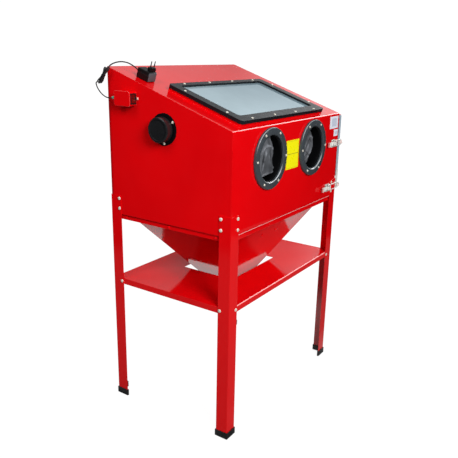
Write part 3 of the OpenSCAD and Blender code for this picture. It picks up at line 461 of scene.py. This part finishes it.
def tube(name, points, radius, material, sides=12, steps=10):
    """Closed round tube along a smooth curve; radius may be a function of the share of the length."""
    path = smooth_path(points, steps)
    last = len(path) - 1
    tangent = [(path[min(i + 1, last)] - path[max(i - 1, 0)]).normalized() for i in range(last + 1)]
    side = tangent[0].orthogonal().normalized()
    verts = []
    for i, (centre, along) in enumerate(zip(path, tangent)):
        side = (side - along * side.dot(along)).normalized()
        up = along.cross(side)
        r = radius(i / last) if callable(radius) else radius
        verts += [centre + (side * c + up * s) * r for c, s in circle(sides)]
    faces = ring_faces(last + 1, sides)
    faces.append(tuple(range(sides - 1, -1, -1)))
    faces.append(tuple(range(last * sides, (last + 1) * sides)))
    return mesh_object(name, verts, faces, material)


def round_tip(radius, share=0.14, least=0.004):
    """Radius of a finger: level, then rounded off over the last share of its length."""
    return lambda s: radius * math.sqrt(max(1 - max(s - (1 - share), 0) ** 2 / share ** 2, least))


def join(name, parts):
    """One object from several, each with one material."""
    joined = bmesh.new()
    mats = []
    for o in parts:
        if o.data.materials[0] not in mats:
            mats.append(o.data.materials[0])
    mesh = bpy.data.meshes.new(name)
    for m in mats:
        mesh.materials.append(m)
    for o in parts:
        start = len(joined.faces)
        joined.from_mesh(o.data)
        joined.faces.ensure_lookup_table()
        for f in joined.faces[start:]:
            f.material_index = mats.index(o.data.materials[0])
    joined.to_mesh(mesh)
    joined.free()
    for o in parts:
        old = o.data
        bpy.data.objects.remove(o)
        bpy.data.meshes.remove(old)
    return new_object(name, mesh)


def box(name, size, place, material, bevel, segments):
    """Box of the size with rounded edges, about the origin of the matrix."""
    bm = bmesh.new()
    bmesh.ops.create_cube(bm, size=1.0, matrix=Matrix.Diagonal((*size, 1.0)))
    bmesh.ops.bevel(bm, geom=list(bm.edges), offset=bevel, segments=segments, profile=0.5,
                    affect="EDGES", clamp_overlap=True)
    mesh = bpy.data.meshes.new(name)
    bm.to_mesh(mesh)
    bm.free()
    mesh.transform(place)
    crisp(mesh, 40)
    mesh.materials.append(material)
    return new_object(name, mesh)


def lathe(name, profile, place, material, sides):
    """Surface of revolution about local Z; profile is a list of (radius, height)."""
    verts = [(r * c, r * s, h) for r, h in profile for c, s in circle(sides)]
    mesh = bpy.data.meshes.new(name)
    mesh.from_pydata(verts, [], ring_faces(len(profile), sides))
    bm = bmesh.new()
    bm.from_mesh(mesh)
    bmesh.ops.remove_doubles(bm, verts=bm.verts, dist=1e-6)
    bmesh.ops.recalc_face_normals(bm, faces=bm.faces)
    bm.to_mesh(mesh)
    bm.free()
    mesh.transform(place)
    crisp(mesh, 35)
    mesh.materials.append(material)
    return new_object(name, mesh)


# ---------------------------------------------------------------- gloves

# Slack of each sleeve, in metres from the middle of its hole: the right hand edge of the folded sheet
# (across, up), the ridges of its creases and the hollows beside them
SHEETS = {
    "left": {
        "edge": [(0.020, 0.070), (0.032, 0.059), (0.045, 0.036), (0.049, 0.012), (0.042, -0.009),
                 (0.047, -0.032), (0.053, -0.060)],
        "ridges": [
            [(-0.060, 0.020), (-0.034, 0.036), (-0.010, 0.046), (0.019, 0.042), (0.038, 0.030)],
            [(-0.016, 0.022), (-0.024, -0.010), (-0.036, -0.038), (-0.058, -0.052)],
            [(-0.052, -0.060), (0.005, -0.062), (0.050, -0.062)],
            [(0.010, 0.004), (0.030, -0.030), (0.046, -0.042)],
        ],
        "hollows": [
            [(-0.022, 0.038), (-0.025, 0.015), (-0.030, -0.009), (-0.039, -0.042)],
            [(0.024, 0.024), (0.030, 0.006), (0.026, -0.012)],
        ],
    },
    "right": {
        "edge": [(-0.002, 0.070), (0.013, 0.060), (0.030, 0.033), (0.039, 0.007), (0.032, -0.013),
                 (0.016, -0.027), (0.000, -0.046), (-0.008, -0.062)],
        "ridges": [
            [(-0.058, 0.004), (-0.034, 0.022), (-0.015, 0.041), (0.002, 0.045), (0.022, 0.036)],
            [(0.012, -0.012), (-0.006, -0.034), (-0.030, -0.046)],
            [(-0.016, 0.012), (-0.034, -0.014), (-0.062, -0.028)],
        ],
        "hollows": [
            [(-0.030, 0.008), (-0.019, 0.024), (0.001, 0.033), (0.018, 0.020)],
            [(-0.044, -0.012), (-0.024, -0.024), (-0.004, -0.030)],
        ],
    },
}
RIDGE_W, HOLLOW_W = 0.0042, 0.0048
RIDGE_H, HOLLOW_H, CREASE_H = 0.006, 0.005, 0.004
# Radius and depth of the cuff that the clamping ring holds, from its rim to the sleeve's mouth
CUFF = [(0.110, -0.0007), (0.098, -0.0008), (0.0875, -0.0008), (0.0852, 0.004)]
MOUTH_R, MOUTH_DEPTH = 0.0850, 0.004
# The slack lies in the first part of the depth, and the sleeve hangs inwards from there
SLACK_DEPTH, SLEEVE_LENGTH, SLEEVE_SAG, SLEEVE_SHIFT = 0.010, 0.206, 0.10, 0.018
GLOVE_SIDES, SLACK_RINGS, GLOVE_RINGS = 120, 32, 68
FINGER_LENGTHS, FINGER_PITCH = (0.056, 0.066, 0.068, 0.058), 0.021
FINGER_R, THUMB_R = 0.0108, 0.0115


def clamp(v, low=0.0, high=1.0):
    return min(max(v, low), high)


def smooth(t):
    """Smooth step from 0 to 1."""
    t = clamp(t)
    return t * t * (3 - 2 * t)


def sheet_edge(edge, z):
    """How far across the sheet reaches at a height; below its last point there is no sheet."""
    if z < edge[-1][1] - 0.003:
        return -1.0
    for (x0, z0), (x1, z1) in zip(edge, edge[1:]):
        if z >= z1:
            return x0 + (x1 - x0) * clamp((z0 - z) / (z0 - z1))
    return edge[-1][0]


def near(x, z, lines, width):
    """1 on the lines, fading to 0 within about twice the width."""
    best = 1.0
    for line in lines:
        for (ax, az), (bx, bz) in zip(line, line[1:]):
            dx, dz = bx - ax, bz - az
            t = clamp(((x - ax) * dx + (z - az) * dz) / (dx * dx + dz * dz))
            best = min(best, math.hypot(x - ax - t * dx, z - az - t * dz))
    return math.exp(-(best / width) ** 2)


def sleeve_point(sheet, seed, ca, sa, s):
    """Place and paleness of a point of the sleeve, dust and painted light together; s is 0 at the mouth, 1
    behind the slack and more inside.
    """
    inner = max(s - 1, 0) / (GLOVE_RINGS / SLACK_RINGS - 1)
    px, pz = MOUTH_R * ca, MOUTH_R * sa
    reach = sheet_edge(sheet["edge"], pz) - px
    moved = smooth(reach / 0.02)
    px += max(reach, 0) * min(s, 1)
    crease = noise.noise(Vector((px * 24, pz * 11, s * 1.3)) + seed)
    ridge = hollow = 0.0
    if moved and inner < 0.12:
        ridge = near(px, pz, sheet["ridges"], RIDGE_W)
        hollow = near(px, pz, sheet["hollows"], HOLLOW_W)
    folds = (RIDGE_H * ridge - HOLLOW_H * hollow) * smooth(s * 6)
    lift = moved * (CREASE_H * crease * math.sin(math.pi * min(s, 1)) + folds) * (1 - smooth(inner * 9))
    closing = math.sqrt(max(1 - max(inner - 0.88, 0) ** 2 / 0.12 ** 2, 0.003))
    wobble = 1 + 0.10 * smooth(inner * 5) * noise.noise(Vector((ca * 1.5, sa * 1.5, inner * 5)) + seed)
    size = (1 - 0.30 * smooth(inner)) * wobble * closing
    depth = MOUTH_DEPTH + SLACK_DEPTH * min(s, 1) + SLEEVE_LENGTH * inner
    place = Vector((px * size + SLEEVE_SHIFT * inner, depth - lift, pz * size - SLEEVE_SAG * inner ** 1.6))
    broken = clamp(0.5 + 1.3 * noise.noise(Vector((px * 55, pz * 55, 9.0)) + seed))
    # Painted highlight on the ridges of the creases and painted shade in the hollows beside them, over the
    # dust's patchiness
    pale = clamp(0.36 + 0.30 * crease + 0.50 * ridge * broken - 0.30 * hollow, 0.04)
    return place, moved * pale * smooth(s * 8) * (1 - smooth(inner * 14))


def glove(side, seed):
    """Rubber gauntlet: clamped cuff, slack folded across the left of the hole, and the sleeve behind."""
    seed = Vector((seed * 7.3, seed * 3.1, 0))
    centre = Vector((ARM_X[side], -HALF_D, ARM_Z))
    steps = circle(GLOVE_SIDES)
    verts = [centre + Vector((r * ca, depth, r * sa)) for r, depth in CUFF for ca, sa in steps]
    dust = [0.0] * len(verts)
    for i in range(GLOVE_RINGS):
        for ca, sa in steps:
            place, pale = sleeve_point(SHEETS[side], seed, ca, sa, (i + 1) / SLACK_RINGS)
            verts.append(centre + place)
            dust.append(pale)
    faces = ring_faces(len(CUFF) + GLOVE_RINGS, GLOVE_SIDES)
    faces.append(tuple(range(len(verts) - GLOVE_SIDES, len(verts))))
    o = mesh_object(side + "_glove_soft", verts, faces, MATS["glove_rubber"])
    # The dust attribute carries blasting dust and painted light together
    layer = o.data.attributes.new("dust", "FLOAT", "POINT")
    layer.data.foreach_set("value", dust)
    finer = o.modifiers.new("finer", "SUBSURF")
    finer.levels = finer.render_levels = 1
    thick = o.modifiers.new("thick", "SOLIDIFY")
    thick.thickness = 0.0012
    thick.offset = 0
    apply_modifiers(o)
    o.data.shade_smooth()
    hand_over(o, side + "_glove")


def hand(side, inward):
    """Fingers and thumb of the gauntlet, hanging from the end of its sleeve."""
    end = Vector((ARM_X[side] + 0.016, -HALF_D + 0.208, ARM_Z - 0.088))
    down = Vector((0.05, 0.72, -0.69)).normalized()
    across = Vector((1, -0.07, 0)).normalized()
    parts = []
    for i, length in enumerate(FINGER_LENGTHS):
        root = end + across * (FINGER_PITCH * (i - 1.5))
        knuckle = down * (0.55 * length) + Vector((0, 0, 0.002))
        tip = root + down * length + Vector((0, 0, -0.010))
        points = [root - down * 0.02, root + down * 0.008, root + knuckle, tip]
        parts.append(tube("finger", points, round_tip(FINGER_R), MATS["glove_rubber"], 16))
    root = end + across * (0.034 * inward) - down * 0.022
    points = [root - down * 0.012, root + across * (0.010 * inward) + down * 0.010,
              root + across * (0.019 * inward) + down * 0.034]
    parts.append(tube("thumb", points, round_tip(THUMB_R), MATS["glove_rubber"], 16))
    o = join(side + "_glove_hand", parts)
    o.data.shade_smooth()
    hand_over(o)


glove("left", 1)
glove("right", 2)
hand("left", 1)
hand("right", -1)


# ---------------------------------------------------------------- lead, hank, adapter

LEAD_R, HANK_R, LEAD_HIGH_R = 0.0021, 0.0022, 0.0023
STRANDS, STRAND_PITCH, STRAND_STEPS = 6, 0.0034, 8
GLAND_X, GLAND_Z = -HALF_W - 0.020, 1.2515
HANK_LOW = Vector((GLAND_X - 0.006, 0.296, 1.302))
HANK_HIGH = Vector((GLAND_X - 0.004, 0.258, 1.352))
LEAD_END = Vector((GLAND_X + 0.074, 0.1801, 1.3514))


def hank_loops():
    """Folded lead: flat loops side by side, pinched together by the tie in the middle."""
    along = HANK_HIGH - HANK_LOW
    length = along.length
    along.normalize()
    across = Vector((1, 0, 0))
    depth = along.cross(across).normalized()
    points = []
    for i in range(STRANDS):
        up = i % 2 == 0
        bulge = 1.0 if i in (2, 3) else 0.0085 / 0.0055  # the middle strands lie flatter
        aside = (i - (STRANDS - 1) / 2) * STRAND_PITCH + rng.uniform(-0.0006, 0.0006)
        behind = (0.0045 if up else -0.0045) + rng.uniform(-0.001, 0.001)
        stretch = rng.uniform(-0.004, 0.005)
        for k in range(STRAND_STEPS + 1):
            s = k / STRAND_STEPS if up else 1 - k / STRAND_STEPS
            pinch = 0.35 + 0.65 * abs(2 * s - 1) ** 1.5
            end = max(abs(2 * s - 1) - 0.75, 0) * 4
            points.append(HANK_LOW + along * (s * (length + stretch)) + across * (aside * pinch)
                          + depth * (behind * pinch * (1 - 0.55 * end) * bulge))
    return points


def power_lead():
    """Lead from the gland to the hank, the hank, and the arc from there over the roof to the adapter."""
    def from_gland(points):
        return [(GLAND_X + x, y, z) for x, y, z in points]

    loops = hank_loops()
    low = from_gland([
        (0, 0.206, GLAND_Z), (0, 0.232, GLAND_Z), (0, 0.252, GLAND_Z - 0.003), (0, 0.276, GLAND_Z + 0.001),
        (0, 0.298, GLAND_Z + 0.014), (-0.001, 0.312, GLAND_Z + 0.030), (-0.003, 0.317, GLAND_Z + 0.046),
        (-0.004, 0.312, GLAND_Z + 0.052),
    ])
    high = [loops[-1] + Vector((0.003, -0.004, 0.006))] + from_gland([
        (-0.001, 0.263, 1.346), (0.006, 0.2575, 1.3590), (0.014, 0.248, 1.369), (0.025, 0.2352, 1.3752),
        (0.038, 0.2205, 1.3772), (0.051, 0.2055, 1.3735), (0.062, 0.193, 1.3650), (0.070, 0.184, 1.3565),
    ]) + [LEAD_END]
    relief = [LEAD_END, LEAD_END + Vector((0, -0.0104, -0.0035))]
    rubber_coat = MATS["black_rubber"]
    o = join("power_lead", [
        tube("lead_low", low + [loops[0]], LEAD_R, rubber_coat, 10, 8),
        tube("lead_hank", loops, HANK_R, rubber_coat, 8, 4),
        tube("lead_high", high, LEAD_HIGH_R, rubber_coat, 10, 8),
        tube("lead_relief", relief, lambda s: 0.0027 + 0.0012 * s, rubber_coat, 12, 4),
    ])
    o.data.shade_smooth()
    hand_over(o, "power_cable")


def cable_tie():
    """Band round the waist of the hank."""
    turn = (HANK_HIGH - HANK_LOW).normalized().to_track_quat("Z", "Y").to_matrix().to_4x4()
    place = Matrix.Translation(HANK_LOW.lerp(HANK_HIGH, 0.52)) @ turn @ Matrix.Diagonal((1.15, 0.8, 1, 1))
    profile = [(0.0068, -0.004), (0.0078, -0.0035), (0.0080, 0), (0.0078, 0.0035), (0.0068, 0.004)]
    hand_over(lathe("cable_tie", profile, place, MATS["black_plastic"], 24))


power_lead()
cable_tie()


# The adapter lies on the roof with its plug upwards; places on the roof are (across, up the slope)
ADAPTER_AT, PLUG_AT = (-0.357, 0.456), (-0.353, 0.440)
ADAPTER_SIZE = (0.042, 0.056, 0.037)
PIN_PITCH = 0.019


def on_roof(place, height):
    """Matrix of a spot on the roof: X across, Y up the slope, Z out of the roof."""
    corner = Matrix.Translation((0, -HALF_D, FRONT_H)) @ Matrix.Rotation(SLOPE, 4, "X")
    return corner @ Matrix.Translation((*place, height))


def adapter():
    """Two-part shell with a seam, a grey cap at its front end and a plug neck on top."""
    width, length, _ = ADAPTER_SIZE
    seam_size = (width + 0.0004, length + 0.0004, 0.0012)
    cap_at = (ADAPTER_AT[0], 0.4268)
    shell, cap = MATS["adapter_shell"], MATS["adapter_cap"]
    o = join("adapter", [
        box("adapter_body", ADAPTER_SIZE, on_roof(ADAPTER_AT, 0.0187), shell, 0.0025, 4),
        box("adapter_seam", seam_size, on_roof(ADAPTER_AT, 0.023), MATS["black_rubber"], 0.0004, 2),
        box("adapter_head", (0.0395, 0.0035, 0.0315), on_roof(cap_at, 0.0180), cap, 0.0015, 3),
        box("adapter_neck", (0.030, 0.018, 0.016), on_roof(PLUG_AT, 0.0440), shell, 0.004, 4),
    ])
    crisp(o.data, 40)
    hand_over(o, "power_adapter")


def adapter_pins():
    """Two round pins, each with a plastic sleeve at its foot."""
    sleeve = [(0, 0), (0.0023, 0), (0.0021, 0.0120), (0.0, 0.0121)]
    tip = [(0, 0.0118), (0.0019, 0.0118), (0.0019, 0.0215), (0.0012, 0.0232), (0, 0.0236)]
    parts = []
    for s in (-0.5, 0.5):
        foot = on_roof((PLUG_AT[0] + s * PIN_PITCH, PLUG_AT[1]), 0.0505)
        parts.append(lathe("pin_sleeve", sleeve, foot, MATS["black_plastic"], 16))
        parts.append(lathe("pin_tip", tip, foot, MATS["pin_metal"], 16))
    o = join("adapter_pins", parts)
    crisp(o.data, 40)
    hand_over(o, "plug_pins")


adapter()
adapter_pins()


# ---------------------------------------------------------------- hoses inside

GUN_Z = 0.8062
AIR_X, AIR_R = 0.2568, 0.007
PICKUP_X, MEDIA_R = 0.0842, 0.010
HOSE_STEPS = 12
RIB_SHARE, RIB_RATE = 0.012, 260


def hose(name, cad, points, radius):
    """Finely ribbed hose with a plated clamp near each end."""
    def ribbed(s):
        return radius * (1 + RIB_SHARE * math.sin(s * RIB_RATE))

    parts = [tube(name + "_core", points, ribbed, MATS["black_rubber"], 20, HOSE_STEPS)]
    path = smooth_path(points, HOSE_STEPS)
    clamp_ring = [(radius, -0.004), (radius * 1.12, -0.0038), (radius * 1.12, 0.0038), (radius, 0.004)]
    for i in (2, len(path) - 4):
        along = (path[i + 1] - path[i - 1]).normalized()
        place = Matrix.Translation(path[i]) @ along.to_track_quat("Z", "Y").to_matrix().to_4x4()
        parts.append(lathe(name + "_clamp", clamp_ring, place, MATS["zinc_plate"], 24))
    o = join(name, parts)
    o.data.shade_smooth()
    hand_over(o, cad)


hose("air_hose_soft", "air_hose", [
    (AIR_X, 0.0094, GUN_Z), (AIR_X, 0.050, GUN_Z), (AIR_X, 0.100, GUN_Z), (AIR_X, 0.132, GUN_Z + 0.001),
    (AIR_X, 0.162, GUN_Z + 0.009), (AIR_X, 0.182, GUN_Z + 0.030), (AIR_X, 0.189, GUN_Z + 0.052),
    (AIR_X, 0.202, GUN_Z + 0.078), (AIR_X, 0.224, GUN_Z + 0.092), (AIR_X, 0.245, GUN_Z + 0.0938),
], AIR_R)
hose("media_hose_soft", "media_hose", [
    (0.235, -0.109, GUN_Z), (0.2345, -0.121, GUN_Z), (0.226, -0.139, GUN_Z), (0.205, -0.149, GUN_Z),
    (0.170, -0.147, GUN_Z), (0.130, -0.128, GUN_Z), (0.100, -0.096, GUN_Z), (0.086, -0.058, GUN_Z),
    (PICKUP_X, -0.025, GUN_Z), (PICKUP_X, -0.004, GUN_Z - 0.003), (PICKUP_X, 0.006, GUN_Z - 0.012),
    (PICKUP_X, 0.008, GUN_Z - 0.022), (PICKUP_X, 0.008, 0.7745),
], MEDIA_R)


# ---------------------------------------------------------------- stage, light, camera

FLOOR_R, FLOOR_Z = 2.4, -0.0005
FLOOR_SEEN, FLOOR_MIRRORED, FLOOR_BOUNCE = 0.90, 1.3, 0.06
# What the gloss of the paint mirrors: direction, inner and outer half angle in degrees, brightness
LOBES = [
    ((0.94, 0.10, 0.33), 9, 20, 0.75),
    ((0.86, -0.13, 0.49), 7, 13, 7.0),
    ((-0.30, 0.10, 0.95), 16, 30, 1.8),
]
# Lower and upper end of the mirrored backdrop: sine of the angle above the ground, and brightness there
BACKDROP_FROM, BACKDROP_TO = (0.24, 0.16), (0.47, 0.60)
BACKDROP_SIDE = (0.83, 0.56, 0.0)
FILL, SEEN = 0.22, 1.05


def ray_kinds(add):
    path = add("ShaderNodeLightPath").outputs
    return path["Is Camera Ray"], path["Is Glossy Ray"]


def stage_floor():
    """Pale seamless floor; only its part behind and beside the cabinet shows in the paint."""
    m = Mat("floor")
    camera_ray, glossy_ray = ray_kinds(m.add)
    x, y, _ = m.place()
    behind = m.math("MULTIPLY", m.remap(x, -0.35, 0.0, 0.0, 1.0), m.remap(y, -0.40, 0.0, 0.0, 1.0))
    mirrored = m.math("MULTIPLY", m.math("MULTIPLY", behind, glossy_ray), FLOOR_MIRRORED)
    seen = m.math("MULTIPLY", camera_ray, FLOOR_SEEN)
    glow = m.math("ADD", m.math("ADD", mirrored, seen), FLOOR_BOUNCE)
    white = m.add("ShaderNodeEmission", {"Color": (1.0, 1.0, 1.0, 1), "Strength": glow}).outputs[0]
    matt = m.add("ShaderNodeBsdfDiffuse", {"Color": (0.08, 0.08, 0.08, 1)}).outputs[0]
    m.surface(m.add("ShaderNodeAddShader", {0: matt, 1: white}).outputs[0])
    verts = [(FLOOR_R * c, FLOOR_R * s, FLOOR_Z) for c, s in circle(96)]
    mesh_object("floor", verts, [tuple(range(len(verts)))], m.material, smooth=False)


def world():
    """White to the camera, an even glow on matt surfaces, and a backdrop with lobes in the gloss."""
    studio = bpy.data.worlds.new("studio")
    bpy.context.scene.world = studio
    studio.use_nodes = True
    tree = studio.node_tree
    tree.nodes.clear()

    def add(kind, inputs=None, **props):
        return add_node(tree, kind, inputs, **props)

    def remap(v, a, b, low, high):
        inputs = {"Value": v, "From Min": a, "From Max": b, "To Min": low, "To Max": high}
        return add("ShaderNodeMapRange", inputs, interpolation_type="SMOOTHSTEP").outputs["Result"]

    def maths(op, a, b):
        return add("ShaderNodeMath", {0: a, 1: b}, operation=op).outputs[0]

    ray = add("ShaderNodeTexCoord").outputs["Generated"]
    z = add("ShaderNodeSeparateXYZ", {0: ray}).outputs[2]

    def toward(direction):
        inputs = {0: ray, 1: Vector(direction).normalized()}
        return add("ShaderNodeVectorMath", inputs, operation="DOT_PRODUCT").outputs["Value"]

    upright = remap(z, BACKDROP_FROM[0], BACKDROP_TO[0], BACKDROP_FROM[1], BACKDROP_TO[1])
    mirrored = maths("MULTIPLY", upright, remap(toward(BACKDROP_SIDE), 0.35, 0.65, 0.0, 1.0))
    mirrored = maths("MULTIPLY", mirrored, remap(z, 0.05, 0.2, 0.0, 1.0))
    first_bounce = maths("LESS_THAN", add("ShaderNodeLightPath").outputs["Glossy Depth"], 1.5)
    for direction, inner, outer, strength in LOBES:
        inner, outer = math.cos(math.radians(inner)), math.cos(math.radians(outer))
        lobe = remap(toward(direction), outer, inner, 0.0, strength)
        mirrored = maths("ADD", mirrored, maths("MULTIPLY", lobe, first_bounce))
    camera_ray, glossy_ray = ray_kinds(add)
    fill = maths("MULTIPLY", maths("SUBTRACT", 1.0, glossy_ray), FILL)
    glow = maths("ADD", maths("MULTIPLY", mirrored, glossy_ray), fill)
    room = add("ShaderNodeEmission", {"Color": (0.97, 0.985, 1.0, 1), "Strength": glow}).outputs[0]
    seen = add("ShaderNodeEmission", {"Color": (1, 1, 1, 1), "Strength": SEEN}).outputs[0]
    surface = add("ShaderNodeMixShader", {0: camera_ray, 1: room, 2: seen}).outputs[0]
    add("ShaderNodeOutputWorld", {"Surface": surface})


def softbox(name, at, aim_z, size, power, colour=(1, 1, 1)):
    """Square soft light aimed at a height on the cabinet's axis; it isn't mirrored in the gloss."""
    light = bpy.data.lights.new(name, "AREA")
    light.size = size
    light.energy = power
    light.color = colour
    o = new_object(name, light)
    o.location = at
    o.rotation_euler = (Vector((0, 0, aim_z)) - Vector(at)).to_track_quat("-Z", "Y").to_euler()
    o.visible_glossy = False


def photo_camera():
    """Camera at the photograph's viewing angle."""
    camera = bpy.data.cameras.new("camera")
    camera.sensor_width = 36.0
    camera.lens = 46.06
    camera.clip_start, camera.clip_end = 0.05, 50
    o = new_object("camera", camera)
    o.location = (-2.01243, -1.34147, 1.42417)
    o.rotation_euler = [math.radians(a) for a in (73.04203, -1.12202, -55.78936)]
    bpy.context.scene.camera = o
    bpy.context.scene.view_settings.view_transform = "Standard"
    bpy.context.scene.view_settings.look = "None"


stage_floor()
world()
softbox("key", (-2.1, -3.3, 2.7), 0.95, 1.5, 200, (1.0, 0.985, 0.96))
softbox("left", (-2.6, 0.3, 3.5), 0.9, 1.5, 38, (0.98, 0.99, 1.0))
softbox("top", (0.2, 0.4, 3.4), 1.0, 2.0, 8)
softbox("right", (3.2, 0.9, 2.3), 0.8, 1.8, 90)
photo_camera()
